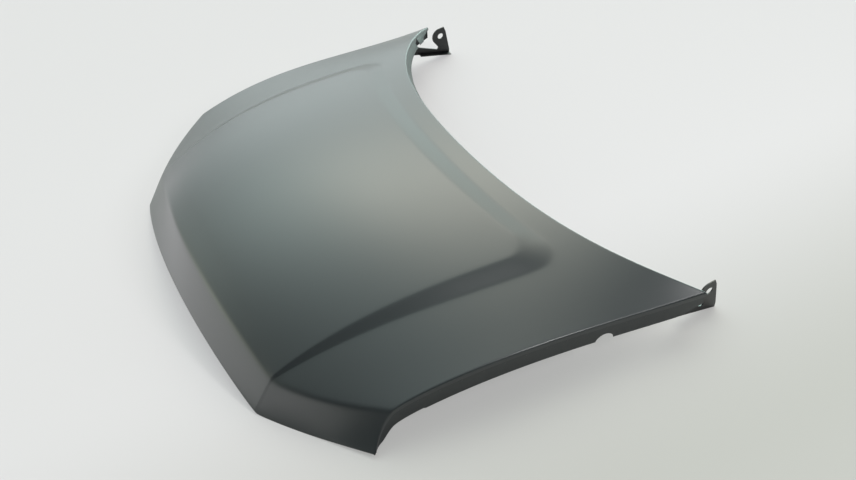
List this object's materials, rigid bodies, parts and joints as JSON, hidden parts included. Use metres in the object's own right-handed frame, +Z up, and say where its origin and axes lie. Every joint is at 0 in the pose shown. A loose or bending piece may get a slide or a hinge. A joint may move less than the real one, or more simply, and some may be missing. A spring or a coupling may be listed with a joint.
{
  "type": "car bonnet",
  "caption": "Pressed steel car bonnet with a raised centre field, a turned-down nose band, an inner frame and two rear hinge brackets",
  "frame": {"origin": "on the floor that the part stands on, under the middle of its width and of its whole length with the hinge brackets", "axes": "+X to the car's left side, +Y to the car's rear (the nose faces -Y), +Z up. The part lies as it does on a floor: on its two nose corners and the feet of its hinge brackets"},
  "size_m": [1.4418, 1.2074, 0.2947],
  "materials": {
    "satin_primer": "satin dark grey primer",
    "primed_sheet": "satin dipped primer",
    "black_paint": "satin black",
    "zinc_plate": "bright zinc plate",
    "mastic": "matt"
  },
  "bodies": {
    "root": {"hinge_bolt_left_1": "zinc_plate", "hinge_bolt_left_2": "zinc_plate", "hinge_bolt_right_1": "zinc_plate", "hinge_bolt_right_2": "zinc_plate", "hinge_bracket_left": "black_paint", "hinge_bracket_right": "black_paint", "hinge_nut_left_1": "primed_sheet", "hinge_nut_left_2": "primed_sheet", "hinge_nut_right_1": "primed_sheet", "hinge_nut_right_2": "primed_sheet", "hinge_reinforcement_left": "primed_sheet", "hinge_reinforcement_right": "primed_sheet", "inner_frame": "primed_sheet", "latch_reinforcement": "primed_sheet", "mastic_pad_01": "mastic", "mastic_pad_02": "mastic", "mastic_pad_03": "mastic", "mastic_pad_04": "mastic", "mastic_pad_05": "mastic", "mastic_pad_06": "mastic", "mastic_pad_07": "mastic", "mastic_pad_08": "mastic", "mastic_pad_09": "mastic", "mastic_pad_10": "mastic", "mastic_pad_11": "mastic", "mastic_pad_12": "mastic", "outer_skin": "satin_primer", "striker_bolt_1": "zinc_plate", "striker_bolt_2": "zinc_plate", "striker_loop": "zinc_plate", "striker_nut_1": "primed_sheet", "striker_nut_2": "primed_sheet", "striker_plate": "zinc_plate"}
  },
  "joints": []
}
